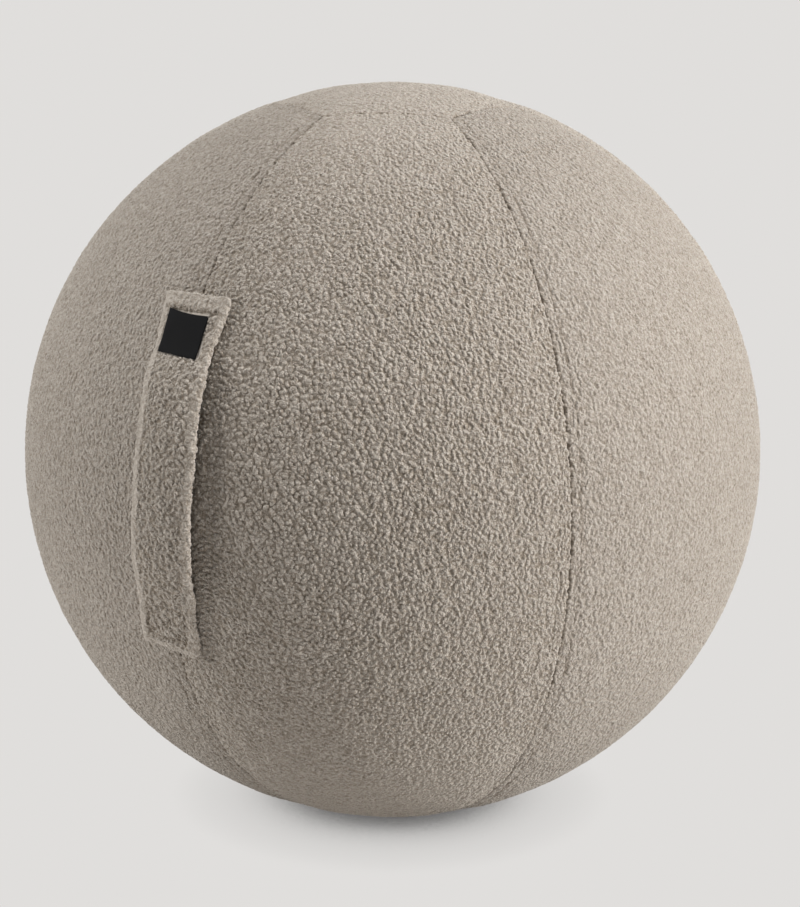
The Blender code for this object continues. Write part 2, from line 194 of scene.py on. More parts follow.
CREASE_SHADE_DARK = 0.45
GAP_SPAN = (0.05, 1.0)
PILE_ROUGH = (0.2, 1.0, 1.0, 0.85)
PILE_SPECULAR = 0.15
SHEEN = 0.3
SHEEN_ROUGH = 0.5
SHEEN_TINT = (1.0, 0.97, 0.93)

# The strap, its sewn box and its hem
STRAP_BODY = 0.0050
STRAP_ROWS = 300
STRAP_ACROSS = 46
STRAP_ROLL = 10
STRAP_CORNER = 0.0040
STRAP_ARCH = 0.0025
STRAP_END = 0.0022
SIDE_LEFT = -1
SIDE_TOP = 0
SIDE_RIGHT = 1
SIDE_UNDER = 2
TIP_L = 0.0015
TIP_STEPS = 6
TIP_CLEAR = 0.0016
SEWN_FADE = 0.012
SEWN_THIN = 0.12
HEM_FLARE = 0.0065
HEM_L = 0.008
FLARE_L = 0.040
HEM_RISE = 0.0022
HEM_RISE_L = 0.030
FOOT_SKEW = 0.0075
FOOT_L = 0.050
EDGE_WAVE = 0.0007
LEFT_WAVE_SIZE = 0.014
RIGHT_WAVE_SIZE = 0.011
EDGE_FRAY = 0.0006
EDGE_FRAY_SIZE = 0.0035
MIDDLE_SINK = 0.0006
MIDDLE_FROM = 0.003
MIDDLE_FADE = 0.006
LUMP_H = 0.0006
LUMP_SIZE = 0.012
LEAST_HALF = 0.0004
BOX_LEFT = -0.0190
BOX_RIGHT = 0.0175
BOX_TOP = 0.2520
BOX_LOW = 0.2770
BOX = ((BOX_LEFT, BOX_TOP), (BOX_RIGHT, BOX_TOP), (BOX_RIGHT, BOX_LOW), (BOX_LEFT, BOX_LOW))
HEM_STITCH = 0.0130
HEM_LINE = ((BOX_LEFT - 0.003, HEM_STITCH), (BOX_RIGHT + 0.008, HEM_STITCH + 0.001))
SEWN_LINES = (*zip(BOX, BOX[1:] + BOX[:1]), (BOX[0], BOX[2]), (BOX[1], BOX[3]), HEM_LINE)
SEWN_SHARES = (0.55, 0.55, 0.75, 1.3, 0.45, 0.45, 0.9)
SEWN_DEPTH = 0.0018
SEWN_W = 0.0016
NAP_FADE = 0.003
HEM_NAP = 0.55
HEM_NAP_END = HEM_STITCH - 0.002
TAIL_NAP = 0.6
TAIL_NAP_START = BOX_LOW + 0.004
LEFT_NAP = 0.85
LEFT_NAP_W = 0.0075
RIGHT_NAP_AND_HIGHLIGHT = 0.40
RIGHT_HIGHLIGHT_W = 0.0085
RIGHT_HIGHLIGHT_FADE = 0.004

# The label, its loose threads and its weave
LABEL_SEAT = 0.0004
LABEL_ASIDE = -0.0015
LABEL_RAISE = 0.0010
LABEL_TURN = math.radians(4.0)
LABEL_STEPS = 48
LABEL_BLUR = 0.002
LABEL_BOW = 0.0012
CORNER_PULL = 0.0016
CORNER_FROM = 0.75
FRAY = 0.0004
FRAY_SIZE = 0.022
FRAY_POWER = 8
LABEL_WAVE = 0.00025
LABEL_WAVE_SIZE = 0.011
LABEL_EDGE = 0.00025
LABEL_EDGE_W = 0.0012
LABEL_MAP_FROM = 0.04
LABEL_MAP_W = 0.42
LABEL_MAP_BACK = (0.5, 0.0)
FRINGE_COUNT = 70
FRINGE_SEED = 7
FRINGE_SHORT = 0.0006
FRINGE_VARY = 0.0012
FRINGE_LEAN = 0.9
FRINGE_ROOT = 0.0003
FRINGE_RAISE = 0.0001
FRINGE_DROOP = 0.0006
FRINGE_R = 0.00010
FRINGE_TAPER = np.array((1.0, 1.0, 0.9, 0.5))
FRINGE_SIDES = 4
LABEL_PITCH = 0.0006
LABEL_WAVER = (0.6, 1.0, 2.0)
SPECKLE = 0.0011
SPECKLE_DETAIL = 3.0
WEAVE_SHARE = 0.5
SPECKLE_SHARE = 0.6
WEAVE_SPAN = (0.2, 0.8)
WEAVE_DARK = 0.55
WEAVE_LIGHT = 1.5
WEAVE_BUMP = 0.7
WEAVE_DEPTH = 0.0003
LABEL_ROUGH = 0.8
LABEL_ROUGH_VARY = 0.15
LABEL_SPECULAR = 0.12

# Threads
STITCH = 0.005
STITCH_RINGS = 5
STITCH_SIDES = 6
STITCH_FILL = 0.82
STITCH_SINK = 0.0012
THREAD_R = 0.00035
THREAD_TIP = 0.45
THREAD_SINK = 0.0007
TOPSTITCH_CLEAR = 0.003
TOPSTITCH_SINK = 0.0004
CELL_FILL = 0.9

# The zip's tape and teeth, and the grain of plain finishes
TEETH_REACH = 0.0044
TEETH_BLUR = 0.0002
TEETH_DARK = 0.85
TEETH_ROUGH = 0.45
TAPE_RIB = 0.0009
TAPE_WAVER = (1.5, 2.0, 3.0)
TAPE_GRAIN = 0.0005
TAPE_DETAIL = 3.0
RIB_SHARE = 0.6
GRAIN_SHARE = 0.5
TAPE_SPAN = (0.2, 0.9)
TAPE_DARK = 0.6
TAPE_ROUGH = 0.9
TAPE_BUMP = 0.8
TAPE_DEPTH = 0.0002
WAVE_PITCH = 0.314
GRAIN_DETAIL = 4.0
GRAIN_BUMP = 0.4
GRAIN_SPAN = (0.3, 0.7)
GRAIN_ROUGH = (0.2, 0.8)
GRAIN_ROUGH_VARY = 0.1

# Colours
# The gap colours are painted shade in the gaps between the pile's curls.
COVER_TIP = (0.553, 0.500, 0.443)
COVER_GAP_SHADE = (0.240, 0.197, 0.150)
# The flat colours are a darker copy of the cover's, a painted shade for the self-shadow that the
# flattened panels' lower pile loses.
FLAT_TIP_SHADED = (0.503, 0.455, 0.403)
FLAT_GAP_SHADE = (0.218, 0.179, 0.137)
LABEL_BLACK = (0.0075, 0.0075, 0.0080)
THREAD_TAN = (0.34, 0.285, 0.23)
TAPE_TAN = (0.30, 0.262, 0.222)
TEETH_TAN = (0.36, 0.32, 0.275)
METAL_GREY = (0.42, 0.41, 0.40)
VINYL_GREY = (0.33, 0.335, 0.34)
PLUG_WHITE = (0.72, 0.71, 0.69)

# Floor, light and camera; a lamp has its azimuth from the camera's, elevation, size and power
CAMERA_AZIMUTH = math.radians(34.26)
CAMERA_ELEVATION = math.radians(13.45)
CAMERA_DISTANCE = 2.275
CAMERA_ROLL = math.radians(0.34)
CAMERA_LENS = 101.1
AIM_RIGHT = 0.0064
AIM_DOWN = 0.0036
FLOOR_SIZE = 12.0
FLOOR_COLOUR = (0.745, 0.731, 0.716)
SHADOW_REACH = 0.07
SHADOW_SAMPLES = 24
SHADOW_SPAN = (0.05, 0.09, 0.13, 0.18, 0.30, 0.70)
SHADOW_LIGHT = (0.13, 0.30, 0.60, 0.76, 0.88, 1.0)
WORLD_LIGHT = 0.08
LAMP_DISTANCE = 2.4
LAMPS = {
    "key_right": (60, 15, 0.5, 47),
    "key_high": (60, 45, 0.5, 14),
    "top": (0, 85, 1.0, 31),
    "left": (-85, 15, 0.7, 36),
    "back": (180, 20, 1.4, 20),
}

centre = np.array((0.0, 0.0, CENTRE_Z))


def random_cells(cells, seed):
    """A number from 0 to 1 for each whole-number cell, the same in every run."""
    keys = cells.astype(np.uint64)
    mixed = np.full(len(cells), seed * HASH_SEED, dtype=np.uint64)
    for axis, factor in enumerate(HASH_AXES):
        mixed ^= keys[:, axis] * np.uint64(factor)
    mixed = (mixed ^ (mixed >> np.uint64(29))) * np.uint64(HASH_MIX)
    mixed ^= mixed >> np.uint64(32)
    return (mixed & np.uint64(HASH_STEPS - 1)) / float(HASH_STEPS)


def smoothstep(value):
    value = np.clip(value, 0, 1)
    return value * value * (3 - 2 * value)


def soft_noise(points, size, seed):
    """Smooth noise from -1 to 1, with lumps of the given size."""
    scaled = points.reshape(-1, 3) / size
    base = np.floor(scaled)
    weight = smoothstep(scaled - base)
    base = base.astype(np.int64)
    total = np.zeros(len(scaled))
    for corner in itertools.product((0, 1), repeat=3):
        share = np.ones(len(scaled))
        for axis in range(3):
            share *= weight[:, axis] if corner[axis] else 1 - weight[:, axis]
        total += share * random_cells(base + np.array(corner), seed)
    return (2 * total - 1).reshape(points.shape[:-1])


def on_ball(polar, azimuth):
    """Unit directions from the ball's centre: polar from its top, azimuth from -Y towards +X."""
    flat = np.sin(polar)
    return np.stack([flat * np.sin(azimuth), -flat * np.cos(azimuth), np.cos(polar)], axis=-1)


def polar_of(directions):
    return np.arccos(np.clip(directions[:, 2], -1, 1))


def cap_edge(azimuth):
    """Polar angle of the hexagon cap's edge, whose sides are great circles."""
    turn = np.mod(azimuth, SECTOR) - SECTOR / 2
    return np.arctan(math.tan(CAP_MID) / np.cos(turn))


def zip_gap(polar):
    """How far the cover's fold stays from the zip's middle at a polar angle."""
    arc = polar * BALL_R - ZIP_START
    opens = smoothstep((arc + SLOT_RAMP) / SLOT_RAMP)
    closes = smoothstep((ZIP_L + SLOT_RAMP - arc) / SLOT_RAMP)
    return SEAM_GAP + (SLOT_HALF - SEAM_GAP) * opens * closes


def plain_gap(polar):
    return np.full_like(polar, SEAM_GAP)


def welt_sides(index):
    """Sides of a panel that have a topstitched welt: 0 is its left seam and 1 its right one."""
    if index % 2:
        return (0, 1)
    return (1,) if index == BEFORE_ZIP else ()


def strap_middle(place):
    """How far the strap's middle line lies from the seam, at a length from its upper end."""
    share = place / STRAP_L
    return STRAP_SHIFT + STRAP_BOW * 4 * share * (1 - share)


def strap_points(place, across, height):
    """Points on the strap: length from its upper end, across it, and above its seat."""
    foot = smoothstep((place - STRAP_L + FOOT_L) / FOOT_L)
    skew = FOOT_SKEW * (across / STRAP_W + 0.5) * foot
    drawn = skew - HEM_RISE * smoothstep(1 - place / HEM_RISE_L)
    polar = (STRAP_CENTRE - STRAP_L / 2 + place + drawn) / BALL_R
    azimuth = (strap_middle(place) + across) / (BALL_R * np.sin(polar))
    end = np.minimum(place, STRAP_L - place)
    free = smoothstep((end - STRAP_SEWN) / STRAP_RISE)
    lift = free * (STRAP_GAP - STRAP_ARCH * (2 * across / STRAP_W) ** 2)
    return on_ball(polar, azimuth) * (BALL_R + STRAP_SEAT + lift + height)[..., None]


def spread(middle):
    """Places on a span, close together near both ends: fixed metres and a share of the span."""
    near = np.linspace(0, EDGE_ZONE, EDGE_STEPS, endpoint=False)
    share = np.linspace(0, 1, middle + 1)
    fixed = np.concatenate([near, EDGE_ZONE * (1 - 2 * share), -near[::-1]])
    part = np.concatenate([np.zeros(EDGE_STEPS), share, np.ones(EDGE_STEPS)])
    return fixed, part


def bell(value):
    return np.exp(-(value**2))


def crease(distance, width, depth):
    """Depth of a rolled edge that turns down into a seam."""
    inside = np.clip(1 - distance / width, 0, 1)
    return depth * (1 - np.sqrt(1 - inside * inside))


def press_foot(points):
    """Flattens what would lie below the floor, and keeps the relief there."""
    reach = np.linalg.norm(points, axis=1)
    floor = BALL_R - reach - CENTRE_Z
    low = points[:, 2] < floor
    points[low] *= (floor[low] / points[low, 2])[:, None]
    return points


def strap_bed(directions):
    """How far a point lies under the strap's sewn ends, from 0 to 1."""
    polar = polar_of(directions)
    azimuth = np.arctan2(directions[:, 0], -directions[:, 1])
    place = polar * BALL_R - STRAP_CENTRE + STRAP_L / 2
    across = azimuth * BALL_R * np.sin(polar) - strap_middle(place)
    end = np.minimum(place, STRAP_L - place)
    along = smoothstep(end / BED_BLUR) * smoothstep((STRAP_SEWN + BED_FADE - end) / BED_FADE)
    return along * smoothstep((STRAP_W / 2 - BED_INSET - np.abs(across)) / BED_BLUR)


def cover_relief(directions, seams, welts):
    """Radii, pressed share and painted crease shade for points with given distances to seams and welts.
    """
    points = directions * BALL_R
    polar = polar_of(directions)
    nearest = np.min(seams, axis=0)
    vary = soft_noise(points, CREASE_PATCH, CREASE_SEED)
    width = CREASE_W * (1 + CREASE_W_VARY * vary)
    dip = crease(nearest, width, CREASE_DEPTH * (1 + CREASE_DEPTH_VARY * vary))
    dip += PILLOW_DEPTH * bell(nearest / PILLOW_REACH)
    dip -= PUCKER_H * soft_noise(points, PUCKER_SIZE, PUCKER_SEED) * np.exp(-nearest / PUCKER_REACH)
    # Painted shade along each seam's crease, broken into dashes.
    dashes = smoothstep(CREASE_SHADE_SHARE + CREASE_SHADE_BREAK * soft_noise(points, CREASE_SHADE_PATCH, DASH_SEED))
    crease_shade = bell(nearest / CREASE_SHADE_W) * dashes
    bed = strap_bed(directions)
    on_floor = smoothstep((-directions[:, 2] * BALL_R - CENTRE_Z + FLOOR_BLUR) / FLOOR_BLUR)
    naps = [
        bed,
        FLOOR_NAP * on_floor,
        EDGE_NAP * bell(nearest / EDGE_NAP_W),
        # The top and bottom are pressed flatter and painted lighter: painted light that stands for
        # light from above and bounce from the floor.
        TOP_NAP_AND_LIGHT * smoothstep((TOP_LIGHT_EDGE - polar) / TOP_LIGHT_FADE),
        BOTTOM_NAP_AND_LIGHT * smoothstep((polar - BOTTOM_LIGHT_EDGE) / BOTTOM_LIGHT_FADE),
    ]
    for distance in welts:
        groove = bell((distance - WELT) / GROOVE_W)
        uneven = GROOVE_SHARE + GROOVE_VARY * soft_noise(points, STITCH, GROOVE_SEED)
        dip += GROOVE_DEPTH * groove * uneven
        inside = smoothstep((WELT + WELT_BLUR / 2 - distance) / WELT_BLUR)
        naps += [WELT_NAP * inside, GROOVE_NAP * groove]
        # Painted shade in the topstitch groove.
        crease_shade = np.maximum(crease_shade, GROOVE_SHADE * groove * dashes)
    dip += BED_DEPTH * bed
    radius = BALL_R - dip - PILE_SINK + CLUSTER_H * soft_noise(points, CLUSTER, CLUSTER_SEED)
    return radius, np.max(naps, axis=0), crease_shade


def lay_on_tape(directions, radius, crease_shade, fold):
    """Keeps a panel's folded edge on top of the zip's tape, where it runs beside the zip."""
    opened = smoothstep((zip_gap(polar_of(directions)) - 2 * SEAM_GAP) / (SLOT_HALF / 2))
    beside = opened * smoothstep((WELT - fold) / LIP_FADE)
    lowest = LIP_RADIUS - crease(fold, LIP_FOLD, CREASE_DEPTH)
    radius = radius + beside * (np.maximum(radius, lowest) - radius)
    return radius, crease_shade * (1 - beside)


def link(name, data):
    thing = bpy.data.objects.new(name, data)
    bpy.context.collection.objects.link(thing)
    return thing


def mesh_piece(name, points, faces, uvs, rest, pressed, crease_shade=None, per_corner=False):
    """A smooth mesh object with a map for baking, and what its pile needs to know at each point."""
    mesh = bpy.data.meshes.new(name)
    mesh.from_pydata(points.tolist(), [], faces if isinstance(faces, list) else faces.tolist())
    mesh.update()
    mesh.shade_smooth()
    mesh.attributes.new("rest", "FLOAT_VECTOR", "POINT").data.foreach_set("vector", rest.ravel())
    mesh.attributes.new("pressed", "FLOAT", "POINT").data.foreach_set("value", pressed.ravel())
    if crease_shade is not None:
        mesh.attributes.new("crease_shade", "FLOAT", "POINT").data.foreach_set("value", crease_shade.ravel())
    corners = np.empty(len(mesh.loops), dtype=np.int32)
    mesh.loops.foreach_get("vertex_index", corners)
    if not per_corner:
        uvs = uvs[corners]
    mesh.uv_layers.new(name="OFBake").data.foreach_set("uv", uvs.ravel())
    return link(name, mesh)


def grid_faces(rows, columns):
    corner = (np.arange(rows - 1)[:, None] * columns + np.arange(columns - 1)[None, :]).ravel()
    return np.stack([corner, corner + columns, corner + columns + 1, corner + 1], axis=1)


def grid_uvs(rows, columns):
    across, down = np.meshgrid(np.linspace(0, 1, columns), np.linspace(1, 0, rows))
    return np.stack([across.ravel(), down.ravel()], axis=1)


def panel_grid(index):
    """Directions and seam distances of one side panel, on a grid from cap to cap."""
    start = index * SECTOR
    left_gap = zip_gap if index == AFTER_ZIP else plain_gap
    right_gap = zip_gap if index == BEFORE_ZIP else plain_gap
    row_fixed, row_part = (part[:, None] for part in spread(PANEL_ROWS))
    column_fixed, column_part = (part[None, :] for part in spread(PANEL_COLUMNS))
    azimuth = start + SECTOR * column_part + 0 * row_part
    for _ in range(GRID_PASSES):
        edge = cap_edge(np.clip(azimuth, start + TINY, start + SECTOR - TINY))
        length = (math.pi - 2 * edge) * BALL_R - 2 * SEAM_GAP
        down = row_fixed + row_part * length
        polar = edge + (down + SEAM_GAP) / BALL_R
        circle = BALL_R * np.sin(polar)
        left = left_gap(polar)
        width = SECTOR * circle - left - right_gap(polar)
        across = column_fixed + column_part * width
        azimuth = start + (left + across) / circle
    return on_ball(polar, azimuth), across, width - across, down, length - down


def make_panel(index):
    """A side panel, crowned between its seams, whose edges turn down into them."""
    directions, *distances = panel_grid(index)
    rows, columns, _ = directions.shape
    flat = directions.reshape(-1, 3)
    seams = [distance.ravel() for distance in distances]
    radius, pressed, crease_shade = cover_relief(flat, seams, [seams[side] for side in welt_sides(index)])
    if index % 2:
        pressed = np.maximum(pressed, NAP_DOWN)
    if index in (BEFORE_ZIP, AFTER_ZIP):
        fold = seams[1] if index == BEFORE_ZIP else seams[0]
        radius, crease_shade = lay_on_tape(flat, radius, crease_shade, fold)
    points = press_foot(flat * radius[:, None]).reshape(rows, columns, 3)
    rim = np.pad(points, ((1, 1), (1, 1), (0, 0)), mode="edge")
    for side in (rim[0], rim[-1], rim[:, 0], rim[:, -1]):
        side *= (RIM_SHARE * BALL_R / np.linalg.norm(side, axis=1))[:, None]
    return mesh_piece(
        f"fabric_panel_{index + 1}",
        rim.reshape(-1, 3) + centre,
        grid_faces(rows + 2, columns + 2),
        grid_uvs(rows + 2, columns + 2),
        np.pad(directions * BALL_R, ((1, 1), (1, 1), (0, 0)), mode="edge"),
        np.pad(pressed.reshape(rows, columns), 1, mode="edge"),
        np.pad(crease_shade.reshape(rows, columns), 1, mode="edge"),
    )


def cap_faces(first):
    """Triangles between the rings of a cap, from the number of each ring's first point."""
    faces = []
    for ring in range(1, len(first)):
        count = PANEL_COUNT * ring
        inner_count = max(1, PANEL_COUNT * (ring - 1))
        for side, step in itertools.product(range(PANEL_COUNT), range(ring)):
            outer = first[ring] + side * ring + step
            after = first[ring] + (side * ring + step + 1) % count
            inner = first[ring - 1] + (side * (ring - 1) + step) % inner_count
            faces.append((inner, outer, after))
            if step < ring - 1:
                following = first[ring - 1] + (side * (ring - 1) + step + 1) % inner_count
                faces.append((inner, after, following))
    return np.array(faces)


def make_cap(name, upward):
    """A hexagon cap as rings of a triangle grid, close together near its edge."""
    near = np.linspace(0, EDGE_ZONE, EDGE_STEPS, endpoint=False)
    inside = np.linspace(0, CAP_CORNER - EDGE_ZONE, CAP_RINGS)
    share = np.concatenate([inside, CAP_CORNER - near[::-1]]) / CAP_CORNER
    polar = [np.zeros(1)]
    azimuth = [np.zeros(1)]
    first = [0]
    count = 1
    for ring in range(1, len(share)):
        step = np.arange(PANEL_COUNT * ring)
        along = np.mod(step, ring) / ring
        turn = (step // ring + along) * SECTOR
        inward = TINY * np.sign(along - 0.5)
        azimuth.append(turn)
        polar.append(share[ring] * (cap_edge(turn - inward) - SEAM_GAP / BALL_R))
        first.append(count)
        count += len(step)
    polar = np.concatenate(polar)
    azimuth = np.concatenate(azimuth)
    seam = (cap_edge(azimuth) - polar) * BALL_R
    directions = on_ball(polar if upward else math.pi - polar, azimuth)
    radius, pressed, crease_shade = cover_relief(directions, [seam], [])
    points = press_foot(directions * radius[:, None])
    edge = np.arange(first[-1], count)
    below = np.arange(count, count + len(edge))
    following = np.roll(edge, -1)
    upper_rim = np.stack([edge, below, following], axis=1)
    lower_rim = np.stack([following, below, np.roll(below, -1)], axis=1)
    faces = np.concatenate([cap_faces(first), upper_rim, lower_rim])
    if not upward:
        faces = faces[:, ::-1]
    points = np.concatenate([points, points[edge] * RIM_SHARE])
    return mesh_piece(
        name,
        points + centre,
        faces,
        0.5 + points[:, :2] / (CAP_MAP * CAP_CORNER),
        np.concatenate([directions, directions[edge]]) * BALL_R,
        np.concatenate([pressed, pressed[edge]]),
        np.concatenate([crease_shade, crease_shade[edge]]),
    )


def segment_distance(across, place, first, last):
    """Distance from points of the strap to a sewn line between two of them."""
    line = np.array(last) - np.array(first)
    gap = np.stack([across - first[0], place - first[1]], axis=-1)
    share = np.clip(gap @ line / (line @ line), 0, 1)
    return np.linalg.norm(gap - share[..., None] * line, axis=-1)


def strap_places():
    """Lengths from the strap's upper end for its rows of points, close together at both ends."""
    places = STRAP_L * np.linspace(0, 1, STRAP_ROWS + 1)
    ends = TIP_L * (1 - np.cos(np.linspace(0, math.pi / 2, TIP_STEPS)))
    places = np.concatenate([ends[:-1], places[places > TIP_CLEAR]])
    return np.concatenate([places[places < STRAP_L - TIP_CLEAR], STRAP_L - ends[::-1]])


def strap_sides(place):
    """Left and right edge of the strap, which flares towards its hem."""
    left = np.full_like(place, -STRAP_W / 2)
    right = STRAP_W / 2 + HEM_FLARE * smoothstep((HEM_L + FLARE_L - place) / FLARE_L)
    end = np.minimum(place, STRAP_L - place)
    inset = crease(end, STRAP_CORNER, STRAP_CORNER)
    ripple = np.stack([0 * place, place, 0 * place], axis=-1)
    wave = EDGE_WAVE * soft_noise(ripple, LEFT_WAVE_SIZE, LEFT_WAVE_SEED)
    frayed = EDGE_WAVE * soft_noise(ripple + NOISE_SHIFT, RIGHT_WAVE_SIZE, RIGHT_WAVE_SEED)
    frayed += EDGE_FRAY * soft_noise(ripple, EDGE_FRAY_SIZE, EDGE_FRAY_SEED)
    return left + inset + wave, right - inset + frayed


def strap_section(left, right, half):
    """Points round the strap for each row: across it, their height and the side they are on."""
    roll = np.linspace(-math.pi / 2, math.pi / 2, STRAP_ROLL + 1)[1:-1]
    middle = np.linspace(0, 1, STRAP_ACROSS + 1)
    shape = [(SIDE_LEFT, angle) for angle in roll] + [(SIDE_TOP, share) for share in middle]
    shape += [(SIDE_RIGHT, angle) for angle in -roll]
    shape += [(SIDE_UNDER, share) for share in middle[::-1]]
    across = np.empty((len(left), len(shape)))
    height = np.empty_like(across)
    for column, (side, value) in enumerate(shape):
        if side == SIDE_LEFT:
            across[:, column] = left + half - half * math.cos(value)
            height[:, column] = half * math.sin(value)
        elif side == SIDE_RIGHT:
            across[:, column] = right - half + half * math.cos(value)
            height[:, column] = half * math.sin(value)
        else:
            across[:, column] = left + half + (right - left - 2 * half) * value
            height[:, column] = half if side == SIDE_TOP else -half
    return across, height, np.array([side for side, _ in shape])


def under_label(across, place):
    """How far a point of the strap lies under the label, from 0 to 1."""
    upper = LABEL_DROP - LABEL_RAISE
    share = smoothstep((LABEL_W / 2 + LABEL_BLUR - np.abs(across - LABEL_ASIDE)) / LABEL_BLUR)
    share *= smoothstep((place - upper + LABEL_BLUR) / LABEL_BLUR)
    return share * smoothstep((upper + LABEL_H + LABEL_BLUR - place) / LABEL_BLUR)


def make_strap():
    """A folded strap with rolled edges, flattened at its sewn ends."""
    places = strap_places()
    left, right = strap_sides(places)
    end = np.minimum(places, STRAP_L - places)
    rounding = np.sqrt(np.clip(1 - np.clip(1 - end / STRAP_END, 0, 1) ** 2, 0, 1))
    sewn = smoothstep((STRAP_SEWN - end) / SEWN_FADE)
    half = STRAP_BODY / 2 * rounding * (1 - SEWN_THIN * sewn)
    across, height, sides = strap_section(left, right, half)
    rows, columns = across.shape
    left, right, half = (part[:, None] for part in (left, right, half))
    place = np.repeat(places[:, None], columns, axis=1)
    top = (sides == SIDE_TOP) * np.ones_like(across)
    drawn = [segment_distance(across, place, *line) / SEWN_W for line in SEWN_LINES]
    seam = np.max([share * bell(gap) for share, gap in zip(SEWN_SHARES, drawn)], axis=0)
    edge = np.minimum(across - left, right - across)
    sunk = MIDDLE_SINK * smoothstep((edge - MIDDLE_FROM) / MIDDLE_FADE) + SEWN_DEPTH * seam
    height = height - top * np.minimum(sunk, np.maximum(half - LEAST_HALF, 0.0))
    flat = np.stack([across, place, height], axis=-1)
    height = height + top * LUMP_H * soft_noise(flat, LUMP_SIZE, LUMP_SEED)
    label = under_label(across, place)
    naps = [
        top * label,
        (sides == SIDE_UNDER) * np.ones_like(across),
        HEM_NAP * smoothstep((HEM_NAP_END - place) / NAP_FADE),
        TAIL_NAP * smoothstep((place - TAIL_NAP_START) / NAP_FADE),
        LEFT_NAP * smoothstep((LEFT_NAP_W - across + left) / NAP_FADE),
        # Painted highlight along the rolled right edge, which also lies flatter.
        RIGHT_NAP_AND_HIGHLIGHT * smoothstep((RIGHT_HIGHLIGHT_W - right + across) / RIGHT_HIGHLIGHT_FADE),
    ]
    points = strap_points(place, across, height + STRAP_BODY / 2)
    row = np.arange(rows - 1)[:, None] * columns
    this = row + np.arange(columns)[None, :]
    following = row + np.roll(np.arange(columns), -1)[None, :]
    faces = np.stack([this, following, columns + following, columns + this], axis=-1).reshape(-1, 4)
    u, v = np.meshgrid(np.arange(columns) / columns, np.arange(rows - 1) / (rows - 1))
    next_u = u + 1 / columns
    next_v = v + 1 / (rows - 1)
    uvs = np.stack([u, v, next_u, v, next_u, next_v, u, next_v], axis=-1).reshape(-1, 2)
    piece = mesh_piece(
        "fabric_strap",
        points.reshape(-1, 3) + centre,
        faces,
        uvs,
        flat.reshape(-1, 3) + NOISE_SHIFT,
        np.max(naps, axis=0),
        # Painted shade in the sewn grooves, except under the label.
        top * seam * (1 - label),
        per_corner=True,
    )
    weld(piece)
    return piece


def weld(piece):
    """Joins points that lie on each other, as at the strap's ends."""
    work = bmesh.new()
    work.from_mesh(piece.data)
    bmesh.ops.remove_doubles(work, verts=work.verts, dist=WELD)
    bmesh.ops.recalc_face_normals(work, faces=work.faces)
    work.to_mesh(piece.data)
    work.free()
    piece.data.shade_smooth()


def label_top(u, v):
    """Places on the label: u across and v down, both 0 to 1, with its worn edges."""
    bowed = LABEL_BOW * 4 * u * (1 - u) * (1 - v) ** 3
    corner = CORNER_PULL * smoothstep((u - CORNER_FROM) / (1 - CORNER_FROM)) * (1 - v) ** 4
    fray = FRAY * soft_noise(np.stack([u, v, 0 * u], axis=-1), FRAY_SIZE, FRAY_SEED)
    aside = (u - 0.5) * LABEL_W + corner + fray * u**FRAY_POWER
    down = (v - 0.5) * LABEL_H + bowed + fray * v**FRAY_POWER
    across = LABEL_ASIDE + aside * math.cos(LABEL_TURN) - down * math.sin(LABEL_TURN)
    middle = LABEL_DROP - LABEL_RAISE + LABEL_H / 2
    return across, middle + aside * math.sin(LABEL_TURN) + down * math.cos(LABEL_TURN)


def make_label():
    """A thin woven label with a closed edge, bowed along its top."""
    steps = np.linspace(0, 1, LABEL_STEPS + 1)
    u, v = np.meshgrid(steps, steps)
    across, place = label_top(u, v)
    flat = np.stack([across, place, 0 * u], axis=-1)
    wave = LABEL_WAVE * soft_noise(flat, LABEL_WAVE_SIZE, LABEL_WAVE_SEED)
    edge = np.minimum(np.minimum(u, 1 - u) * LABEL_W, np.minimum(v, 1 - v) * LABEL_H)
    drawn = LABEL_EDGE * bell(edge / LABEL_EDGE_W)
    low = STRAP_BODY + LABEL_SEAT - MIDDLE_SINK + wave
    under = strap_points(place, across, low).reshape(-1, 3)
    over = strap_points(place, across, low + LABEL_T - drawn).reshape(-1, 3)
    rows, columns = u.shape
    upper = grid_faces(rows, columns)
    lower = upper[:, ::-1] + len(over)
    index = np.arange(len(over)).reshape(rows, columns)
    ring = np.concatenate([index[0, :-1], index[:-1, -1], index[-1, :0:-1], index[:0:-1, 0]])
    after = np.roll(ring, -1)
    side = np.stack([ring, after, after + len(over), ring + len(over)], axis=1)
    uvs = np.stack([LABEL_MAP_FROM + LABEL_MAP_W * u, 1 - v], axis=-1).reshape(-1, 2)
    piece = mesh_piece(
        "fabric_label",
        np.concatenate([over, under]) + centre,
        np.concatenate([upper, lower, side]),
        np.concatenate([uvs, uvs + np.array(LABEL_MAP_BACK)]),
        np.concatenate([flat.reshape(-1, 3)] * 2),
        np.zeros(2 * len(over)),
    )
    weld(piece)
    return piece


